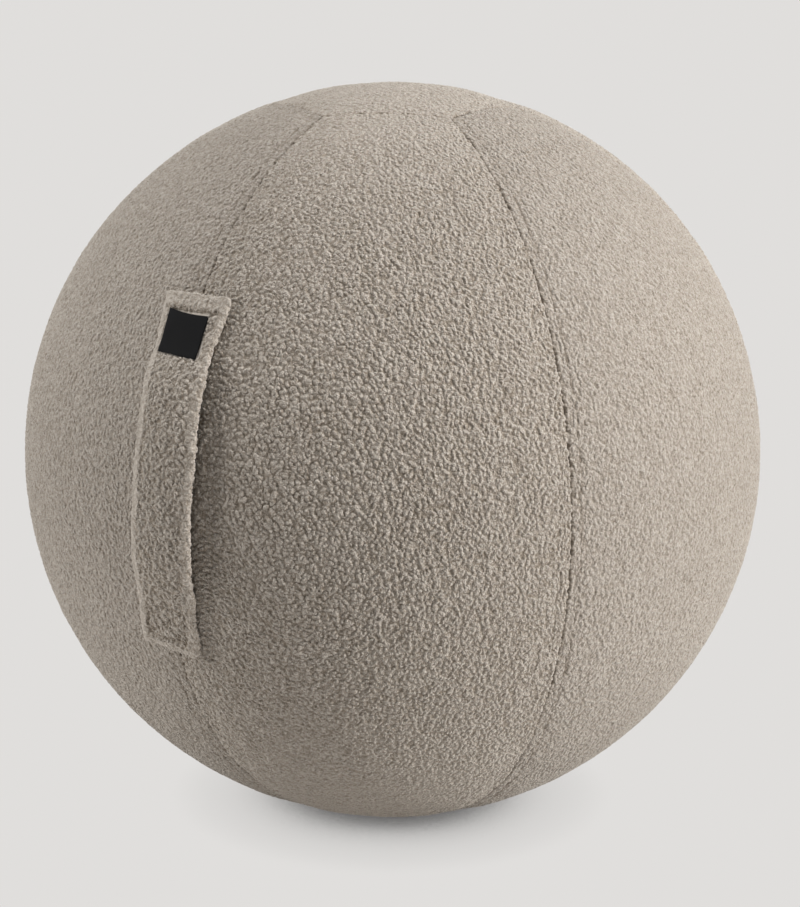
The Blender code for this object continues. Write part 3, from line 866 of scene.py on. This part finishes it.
def tubes(name, paths, radii, sides):
    """Many thin tubes in one mesh: paths is (tubes, rings, 3) and radii (rings,)."""
    count, rings, _ = paths.shape
    run = np.gradient(paths, axis=1)
    run /= np.linalg.norm(run, axis=2, keepdims=True) + NONZERO
    out = paths / np.linalg.norm(paths, axis=2, keepdims=True)
    side = np.cross(run, out)
    side /= np.linalg.norm(side, axis=2, keepdims=True) + NONZERO
    up = np.cross(side, run)
    angles = 2 * math.pi * np.arange(sides)[:, None] / sides
    circle = np.cos(angles) * side[:, :, None, :] + np.sin(angles) * up[:, :, None, :]
    points = paths[:, :, None, :] + radii[None, :, None, None] * circle
    first = np.arange(count)[:, None] * rings * sides
    ring = first[:, :, None] + np.arange(rings - 1)[None, :, None] * sides
    turn = np.arange(sides)[None, None, :]
    this = ring + turn
    following = ring + (turn + 1) % sides
    quads = np.stack([this, following, sides + following, sides + this], axis=-1).reshape(-1, 4)
    start = first + np.arange(sides)[None, ::-1]
    end = first + (rings - 1) * sides + np.arange(sides)[None, :]
    cells = math.ceil(math.sqrt(count))
    cell = np.arange(count)[:, None, None]
    u = cell % cells + CELL_FILL * np.linspace(0, 1, rings)[None, :, None] + 0 * turn
    v = np.broadcast_to(cell // cells + CELL_FILL * turn / sides, u.shape)
    uvs = np.stack([u, v], axis=-1).reshape(-1, 2) / cells
    points = points.reshape(-1, 3)
    faces = quads.tolist() + start.tolist() + end.tolist()
    return mesh_piece(name, points + centre, faces, uvs, points, np.zeros(len(points)))


def sewn_line(name, starts, ends):
    """Sewn threads that come up at each start and go down at each end."""
    steps = np.linspace(0, 1, STITCH_RINGS)
    bow = np.sin(math.pi * steps)
    paths = starts[:, None, :] + (ends - starts)[:, None, :] * steps[None, :, None]
    out = paths / np.linalg.norm(paths, axis=2, keepdims=True)
    paths = paths + out * (THREAD_SINK * (bow - 1))[None, :, None]
    return tubes(name, paths, THREAD_R * (THREAD_TIP + (1 - THREAD_TIP) * bow), STITCH_SIDES)


def strap_stitches():
    """The strap's sewn box with its cross, and the line of its hem."""
    rows = {-1: [], 1: []}
    for first, last in SEWN_LINES:
        run = np.array(last) - np.array(first)
        count = max(2, round(np.linalg.norm(run) / STITCH))
        for number, end in itertools.product(range(count), rows):
            rows[end].append(np.array(first) + run * (number + 0.5 + end * STITCH_FILL / 2) / count)
    ends = []
    for row in rows.values():
        across, place = np.array(row).T
        ends.append(strap_points(place, across, np.full(len(row), STRAP_BODY - STITCH_SINK)))
    return sewn_line("strap_stitches", *ends)


def topstitch(index, side):
    """Sewn threads along one side of a panel, at the welt's width from its seam."""
    seam = index + side
    towards = 1 - 2 * side
    gap = zip_gap if seam == AFTER_ZIP else plain_gap
    corner = CAP_CORNER + TOPSTITCH_CLEAR
    length = math.pi * BALL_R - 2 * corner
    count = round(length / STITCH)
    middle = corner + length * (np.arange(count) + 0.5) / count
    half = 0.5 * STITCH_FILL * length / count
    radius = BALL_R - PILE_SINK - TOPSTITCH_SINK
    rows = []
    for arc in (middle - half, middle + half):
        polar = arc / BALL_R
        azimuth = seam * SECTOR + towards * (gap(polar) + WELT) / (BALL_R * np.sin(polar))
        rows.append(on_ball(polar, azimuth) * radius)
    return sewn_line(f"topstitch_{index + 1}_{'right' if side else 'left'}", *rows)


def label_fringe():
    """Short loose threads along the label's right and lower edges."""
    draws = np.random.default_rng(FRINGE_SEED)
    along = draws.random(FRINGE_COUNT)
    right = draws.random(FRINGE_COUNT) < 0.5
    length = FRINGE_SHORT + FRINGE_VARY * draws.random(FRINGE_COUNT)
    lean = FRINGE_LEAN * (draws.random(FRINGE_COUNT) - 0.5)
    droop = FRINGE_DROOP * draws.random(FRINGE_COUNT)
    across, place = label_top(np.where(right, 1.0, along), np.where(right, along, 1.0))
    steps = np.linspace(0, 1, len(FRINGE_TAPER))[None, :]
    run = length[:, None] * steps
    swing = lean[:, None] * run
    across = across[:, None] + np.where(right[:, None], run - FRINGE_ROOT, swing)
    place = place[:, None] + np.where(right[:, None], swing, run - FRINGE_ROOT)
    height = STRAP_BODY + LABEL_SEAT + FRINGE_RAISE - droop[:, None] * steps**2
    paths = strap_points(place, across, height)
    return tubes("label_fringe", paths, FRINGE_R * FRINGE_TAPER, FRINGE_SIDES)


def make_material(name):
    material = bpy.data.materials.new(name)
    material.use_nodes = True
    material.node_tree.nodes.clear()
    return material, material.node_tree


def add(tree, kind, inputs=None, **settings):
    """A node with its settings made, its numbers set and its sockets joined."""
    node = tree.nodes.new(kind)
    for name, value in settings.items():
        setattr(node, name, value)
    for name, value in (inputs or {}).items():
        if isinstance(value, bpy.types.NodeSocket):
            tree.links.new(value, node.inputs[name])
        else:
            node.inputs[name].default_value = value
    return node


def calc(tree, operation, *values):
    """A math node's result."""
    return add(tree, "ShaderNodeMath", dict(enumerate(values)), operation=operation).outputs[0]


def plus(tree, base, value, weight):
    """A value times its weight, added to a base."""
    return calc(tree, "ADD", base, calc(tree, "MULTIPLY", value, weight))


def calc_vector(tree, operation, first, second):
    """A vector math node's result; a number as the second value is a scale."""
    name = "Scale" if operation == "SCALE" else 1
    inputs = {0: first, name: second}
    return add(tree, "ShaderNodeVectorMath", inputs, operation=operation).outputs[0]


def rise(tree, value, low, high, bottom=0.0, top=1.0):
    """Smooth change from bottom to top as a value goes from low to high."""
    inputs = {"Value": value, "From Min": low, "From Max": high, "To Min": bottom, "To Max": top}
    return add(tree, "ShaderNodeMapRange", inputs, interpolation_type="SMOOTHSTEP").outputs[0]


def noise(tree, place, size, detail=0.0, output="Fac"):
    inputs = {"Vector": place, "Scale": 1 / size, "Detail": detail}
    return add(tree, "ShaderNodeTexNoise", inputs).outputs[output]


def cell_distance(tree, place, size, feature):
    """Distance in a cell pattern of the given spacing, to the cells' centres or to their edges."""
    inputs = {"Vector": place, "Scale": 1 / size}
    return add(tree, "ShaderNodeTexVoronoi", inputs, feature=feature).outputs["Distance"]


def ribs(tree, place, pitch, direction, waver):
    """Ribs across a direction; waver has their distortion, its detail and the detail's scale."""
    inputs = dict(zip(("Distortion", "Detail", "Detail Scale"), waver))
    inputs.update({"Vector": place, "Scale": WAVE_PITCH / pitch})
    return add(tree, "ShaderNodeTexWave", inputs, bands_direction=direction).outputs["Fac"]


def bump(tree, height, strength, depth):
    inputs = {"Height": height, "Strength": strength, "Distance": depth}
    return add(tree, "ShaderNodeBump", inputs).outputs[0]


def attribute(tree, name, output="Fac"):
    return add(tree, "ShaderNodeAttribute", attribute_name=name).outputs[output]


def ramp(tree, value, places, colours):
    """A colour ramp over a value, with a colour at each place."""
    node = add(tree, "ShaderNodeValToRGB", {"Fac": value})
    points = node.color_ramp.elements
    while len(points) < len(places):
        points.new(0.5)
    for point, place, colour in zip(points, places, colours):
        point.position = place
        point.color = (*colour, 1.0)
    return node.outputs["Color"]


def scaled(colour, share):
    return tuple(part * share for part in colour)


def finish_with(material, shader):
    tree = material.node_tree
    output = add(tree, "ShaderNodeOutputMaterial")
    tree.links.new(shader.outputs[0], output.inputs["Surface"])
    return material


def coat(material, inputs):
    """The material with a principled shader that has these inputs."""
    return finish_with(material, add(material.node_tree, "ShaderNodeBsdfPrincipled", inputs))


def dome(tree, place, size):
    """Round heads of the given spacing, from 0 in the gaps to 1 on top."""
    slope = calc(tree, "MULTIPLY", cell_distance(tree, place, size, "F1"), CURL_STEEP)
    return calc(tree, "MAXIMUM", calc(tree, "SUBTRACT", 1.0, calc(tree, "MULTIPLY", slope, slope)), 0.0)


def pile_pattern(tree, rest):
    """Tufts and the bent curls they are made of, each from 0 in the gaps to 1 on top."""
    lean = calc_vector(tree, "SUBTRACT", noise(tree, rest, BEND_SIZE, 1.0, "Color"), (0.5, 0.5, 0.5))
    bent = calc_vector(tree, "ADD", rest, calc_vector(tree, "SCALE", lean, BEND))
    edge = cell_distance(tree, bent, TUFT, "DISTANCE_TO_EDGE")
    return rise(tree, edge, 0.0, TUFT_ROUND), dome(tree, bent, CURL), bent, edge


def boucle(name, colour, gap_shade):
    """Looped pile: tufts of bent curls with painted shade in their gaps, fine fibre and a soft random
    change of tone.
    """
    material, tree = make_material(name)
    rest = attribute(tree, "rest", "Vector")
    pressed = attribute(tree, "pressed")
    tuft, curl, bent, edge = pile_pattern(tree, rest)
    loop = dome(tree, bent, LOOP)
    fibre = noise(tree, bent, FIBRE, FIBRE_DETAIL)
    height = calc(tree, "MULTIPLY", tuft, TUFT_BUMP)
    for form, weight in ((curl, CURL_BUMP), (loop, LOOP_BUMP), (fibre, FIBRE_BUMP)):
        height = plus(tree, height, form, weight)
    open_pile = plus(tree, 1.0, pressed, -BUMP_CALM)
    crack = rise(tree, edge, 0.0, CRACK, -1.0, 0.0)
    crack = calc(tree, "MULTIPLY", crack, rise(tree, noise(tree, rest, CRACK_PATCH), *CRACK_PARTS))
    crevice = cell_distance(tree, bent, CREVICE, "DISTANCE_TO_EDGE")
    crevice = rise(tree, crevice, 0.0, CREVICE_W, 1.0, 0.0)
    parted = rise(tree, noise(tree, rest, CREVICE_PATCH, 1.0), *CREVICE_PARTS)
    shade = noise(tree, rest, SHADE_SIZE, SHADE_DETAIL)
    # Painted light and shade: lighter on the tops of curls and loops, painted shade in the cracks and
    # crevices between them; the fibre and the soft noise vary the tone at random.
    light = SHADE_BASE
    for form, weight in (
        (curl, CURL_SHADE),
        (loop, LOOP_SHADE),
        (crack, CRACK_DARK),
        (calc(tree, "SUBTRACT", fibre, 0.5), FIBRE_SHADE),
        (calc(tree, "MULTIPLY", crevice, parted), -CREVICE_DARK),
        (calc(tree, "SUBTRACT", shade, 0.5), SHADE_VARY),
    ):
        light = plus(tree, light, form, weight)
    # Pressed pile is painted calmer and lighter, with less painted gap shade; on the ball's top and
    # bottom and the strap's right edge this is painted light.
    calm = calc(tree, "MULTIPLY", pressed, PRESSED_CALM)
    light = plus(tree, light, calm, calc(tree, "SUBTRACT", PRESSED_SHADE, light))
    # Painted shade in the seams' creases and the sewn grooves.
    light = plus(tree, light, attribute(tree, "crease_shade"), -CREASE_SHADE_DARK)
    return coat(
        material,
        {
            "Base Color": ramp(tree, light, GAP_SPAN, (gap_shade, colour)),
            "Roughness": rise(tree, height, *PILE_ROUGH),
            "Normal": bump(tree, calc(tree, "MULTIPLY", height, open_pile), 1.0, BUMP_DEPTH),
            "Specular IOR Level": PILE_SPECULAR,
            "Sheen Weight": SHEEN,
            "Sheen Roughness": SHEEN_ROUGH,
            "Sheen Tint": (*SHEEN_TINT, 1.0),
        },
    )


def make_pile_raiser():
    """Geometry nodes that lift a piece's points by the same tufts and curls as its material."""
    tree = bpy.data.node_groups.new("raise_pile", "GeometryNodeTree")
    tree.interface.new_socket("Geometry", in_out="INPUT", socket_type="NodeSocketGeometry")
    tree.interface.new_socket("Geometry", in_out="OUTPUT", socket_type="NodeSocketGeometry")
    start = add(tree, "NodeGroupInput")
    rest = add(tree, "GeometryNodeInputNamedAttribute", {"Name": "rest"}, data_type="FLOAT_VECTOR")
    pressed = add(tree, "GeometryNodeInputNamedAttribute", {"Name": "pressed"}, data_type="FLOAT")
    tuft, curl, _, _ = pile_pattern(tree, rest.outputs["Attribute"])
    lift = plus(tree, calc(tree, "MULTIPLY", tuft, TUFT_H), curl, CURL_H)
    stands = plus(tree, 1.0, pressed.outputs["Attribute"], -PILE_CALM)
    normal = add(tree, "GeometryNodeInputNormal").outputs[0]
    offset = calc_vector(tree, "SCALE", normal, calc(tree, "MULTIPLY", lift, stands))
    moved = add(tree, "GeometryNodeSetPosition", {"Geometry": start.outputs[0], "Offset": offset})
    end = add(tree, "NodeGroupOutput")
    tree.links.new(moved.outputs[0], end.inputs[0])
    return tree


def raise_pile(piece):
    """Lifts the pile and keeps the result as the piece's own mesh."""
    modifier = piece.modifiers.new("pile", "NODES")
    modifier.node_group = pile_raiser
    seen = piece.evaluated_get(bpy.context.evaluated_depsgraph_get())
    mesh = bpy.data.meshes.new_from_object(seen)
    piece.modifiers.clear()
    old = piece.data
    piece.data = mesh
    bpy.data.meshes.remove(old)


def plain_noise(name, colour, rough, size, vary, metal=0.0, bump_depth=0.0001):
    """A simple finish with a mottled colour, changing roughness and a fine bump."""
    material, tree = make_material(name)
    place = add(tree, "ShaderNodeTexCoord").outputs["Object"]
    grain = noise(tree, place, size, GRAIN_DETAIL)
    mottle = (scaled(colour, 1 - vary), scaled(colour, 1 + vary))
    roughness = (rough - GRAIN_ROUGH_VARY, rough + GRAIN_ROUGH_VARY)
    return coat(
        material,
        {
            "Base Color": ramp(tree, grain, GRAIN_SPAN, mottle),
            "Roughness": rise(tree, grain, *GRAIN_ROUGH, *roughness),
            "Metallic": metal,
            "Normal": bump(tree, grain, GRAIN_BUMP, bump_depth),
        },
    )


def label_weave(name):
    """Fine weave with raised ribs both ways, mottled a little."""
    material, tree = make_material(name)
    rest = attribute(tree, "rest", "Vector")
    warp = ribs(tree, rest, LABEL_PITCH, "X", LABEL_WAVER)
    weft = ribs(tree, rest, LABEL_PITCH, "Y", LABEL_WAVER)
    speckle = noise(tree, rest, SPECKLE, SPECKLE_DETAIL)
    weave = calc(tree, "MULTIPLY", calc(tree, "MULTIPLY", warp, weft), WEAVE_SHARE)
    mixed = plus(tree, weave, speckle, SPECKLE_SHARE)
    shades = (scaled(LABEL_BLACK, WEAVE_DARK), scaled(LABEL_BLACK, WEAVE_LIGHT))
    roughness = (LABEL_ROUGH, LABEL_ROUGH + LABEL_ROUGH_VARY)
    return coat(
        material,
        {
            "Base Color": ramp(tree, mixed, WEAVE_SPAN, shades),
            "Roughness": rise(tree, speckle, *GRAIN_SPAN, *roughness),
            "Normal": bump(tree, mixed, WEAVE_BUMP, WEAVE_DEPTH),
            "Specular IOR Level": LABEL_SPECULAR,
        },
    )


def zip_weave(name):
    """Ribbed tape with moulded teeth along its inner edge, near the zip's middle plane."""
    material, tree = make_material(name)
    place = add(tree, "ShaderNodeTexCoord").outputs["Object"]
    across = add(tree, "ShaderNodeSeparateXYZ", {"Vector": place}).outputs["X"]
    across = calc(tree, "ABSOLUTE", across)
    tooth = rise(tree, across, TEETH_REACH, TEETH_REACH + TEETH_BLUR, 1.0, 0.0)
    rib = calc(tree, "MULTIPLY", ribs(tree, place, TAPE_RIB, "Z", TAPE_WAVER), RIB_SHARE)
    grain = noise(tree, place, TAPE_GRAIN, TAPE_DETAIL)
    weave = plus(tree, rib, grain, GRAIN_SHARE)
    cloth = ramp(tree, weave, TAPE_SPAN, (scaled(TAPE_TAN, TAPE_DARK), TAPE_TAN))
    moulded = ramp(tree, grain, GRAIN_SPAN, (scaled(TEETH_TAN, TEETH_DARK), TEETH_TAN))
    # Sockets 6 and 7 are the mix node's two colours, and output 2 is the mixed one
    colours = {"Factor": tooth, 6: cloth, 7: moulded}
    height = calc(tree, "MULTIPLY", weave, calc(tree, "SUBTRACT", 1.0, tooth))
    return coat(
        material,
        {
            "Base Color": add(tree, "ShaderNodeMix", colours, data_type="RGBA").outputs[2],
            "Roughness": plus(tree, TAPE_ROUGH, tooth, TEETH_ROUGH - TAPE_ROUGH),
            "Normal": bump(tree, height, TAPE_BUMP, TAPE_DEPTH),
        },
    )


def dress(piece, material):
    piece.data.materials.clear()
    piece.data.materials.append(material)


cover_look = boucle("cover_boucle", COVER_TIP, COVER_GAP_SHADE)
flat_shaded_look = boucle("cover_boucle_flat_shaded", FLAT_TIP_SHADED, FLAT_GAP_SHADE)
pile_raiser = make_pile_raiser()

for number in range(PANEL_COUNT):
    panel = make_panel(number)
    raise_pile(panel)
    # Every other panel wears the darker copy of the cover's colours, painted shade for the self-shadow
    # its flattened pile loses.
    dress(panel, flat_shaded_look if number % 2 else cover_look)
    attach(panel, "ball")
    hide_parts(f"cover_panel_{number + 1}")

for cap_name, node_name, faces_up in (
    ("fabric_cap_top", "cover_top_cap", True),
    ("fabric_cap_bottom", "cover_bottom_cap", False),
):
    cap = make_cap(cap_name, faces_up)
    raise_pile(cap)
    dress(cap, cover_look)
    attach(cap, "ball")
    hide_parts(node_name)

strap = make_strap()
raise_pile(strap)
dress(strap, cover_look)
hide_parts("handle_strap")

label_look = label_weave("label_weave")
label = make_label()
dress(label, label_look)
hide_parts("woven_label")

fringe = label_fringe()
dress(fringe, label_look)

thread_look = plain_noise("thread", THREAD_TAN, rough=0.85, size=0.0004, vary=0.25)
threads = strap_stitches()
dress(threads, thread_look)

for piece in (strap, label, fringe, threads):
    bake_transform(piece)

for number in range(PANEL_COUNT):
    for side in welt_sides(number):
        stitches = topstitch(number, side)
        dress(stitches, thread_look)
        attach(stitches, "ball")

tape_look = zip_weave("zip_tape")
metal_look = plain_noise(
    "zip_metal", METAL_GREY, rough=0.38, size=0.004, vary=0.12, metal=1.0, bump_depth=0.00003
)
bladder_look = plain_noise("bladder_vinyl", VINYL_GREY, rough=0.45, size=0.02, vary=0.06)
plug_look = plain_noise("plug_plastic", PLUG_WHITE, rough=0.5, size=0.003, vary=0.04)
stops = ("zip_top_stop_left", "zip_top_stop_right", "zip_bottom_stop")
for look, names in (
    (tape_look, ("zip_tape_left", "zip_tape_right")),
    (metal_look, (*stops, "zip_slider", "zip_pull")),
    (bladder_look, ("bladder",)),
    (plug_look, ("valve_plug",)),
):
    for name in names:
        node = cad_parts[name]
        node.data.materials.clear()
        node.data.materials.append(look)


def around(azimuth, elevation, distance):
    """A point at an azimuth from -Y towards +X, an elevation and a distance from the ball."""
    direction = on_ball(math.pi / 2 - elevation, azimuth)
    return Vector(centre + distance * direction)


def make_camera():
    data = bpy.data.cameras.new("camera")
    data.lens = CAMERA_LENS
    camera = link("camera", data)
    camera.location = around(CAMERA_AZIMUTH, CAMERA_ELEVATION, CAMERA_DISTANCE)
    right = Vector((math.cos(CAMERA_AZIMUTH), math.sin(CAMERA_AZIMUTH), 0.0))
    aim = Vector(centre) + AIM_RIGHT * right - AIM_DOWN * Vector((0, 0, 1))
    turn = (aim - camera.location).to_track_quat("-Z", "Y").to_matrix()
    camera.rotation_euler = (turn @ Matrix.Rotation(CAMERA_ROLL, 3, "Z")).to_euler()
    bpy.context.scene.camera = camera


def make_lamp(name, azimuth, elevation, size, power):
    """A square soft box that faces the ball; its azimuth is counted from the camera's."""
    data = bpy.data.lights.new(name, "AREA")
    data.shape = "SQUARE"
    data.size = size
    data.energy = power
    lamp = link(name, data)
    turn = CAMERA_AZIMUTH + math.radians(azimuth)
    lamp.location = around(turn, math.radians(elevation), LAMP_DISTANCE)
    lamp.rotation_euler = (Vector(centre) - lamp.location).to_track_quat("-Z", "Y").to_euler()


def backdrop(tree, lit, seen):
    """One shader for rays that light the object, and another for those that see the backdrop."""
    path = add(tree, "ShaderNodeLightPath")
    direct = calc(tree, "MAXIMUM", path.outputs["Is Camera Ray"], path.outputs["Is Glossy Ray"])
    direct = calc(tree, "MAXIMUM", direct, path.outputs["Is Transmission Ray"])
    inputs = {0: direct, 1: lit.outputs[0], 2: seen.outputs[0]}
    return add(tree, "ShaderNodeMixShader", inputs)


def make_floor():
    mesh = bpy.data.meshes.new("floor")
    corners = [(-1, -1, 0), (1, -1, 0), (1, 1, 0), (-1, 1, 0)]
    mesh.from_pydata([scaled(corner, FLOOR_SIZE) for corner in corners], [], [(0, 1, 2, 3)])
    floor = link("floor", mesh)
    material, tree = make_material("floor")
    lit = add(tree, "ShaderNodeBsdfDiffuse", {"Color": (*FLOOR_COLOUR, 1.0)})
    near = add(tree, "ShaderNodeAmbientOcclusion", {"Distance": SHADOW_REACH}, samples=SHADOW_SAMPLES)
    greys = [(light,) * 3 for light in SHADOW_LIGHT]
    shadow = ramp(tree, near.outputs["AO"], SHADOW_SPAN, greys)
    seen = add(tree, "ShaderNodeEmission", {"Color": (*FLOOR_COLOUR, 1.0), "Strength": shadow})
    mesh.materials.append(finish_with(material, backdrop(tree, lit, seen)))


def make_world():
    world = bpy.data.worlds.new("studio")
    world.use_nodes = True
    tree = world.node_tree
    lit = tree.nodes["Background"]
    lit.inputs["Color"].default_value = (1.0, 1.0, 1.0, 1.0)
    lit.inputs["Strength"].default_value = WORLD_LIGHT
    seen = add(tree, "ShaderNodeBackground", {"Color": (*FLOOR_COLOUR, 1.0), "Strength": 1.0})
    mixed = backdrop(tree, lit, seen)
    tree.links.new(mixed.outputs[0], tree.nodes["World Output"].inputs["Surface"])
    bpy.context.scene.world = world


make_camera()
make_floor()
make_world()
for lamp_name, settings in LAMPS.items():
    make_lamp(lamp_name, *settings)
bpy.context.scene.view_settings.view_transform = "Standard"
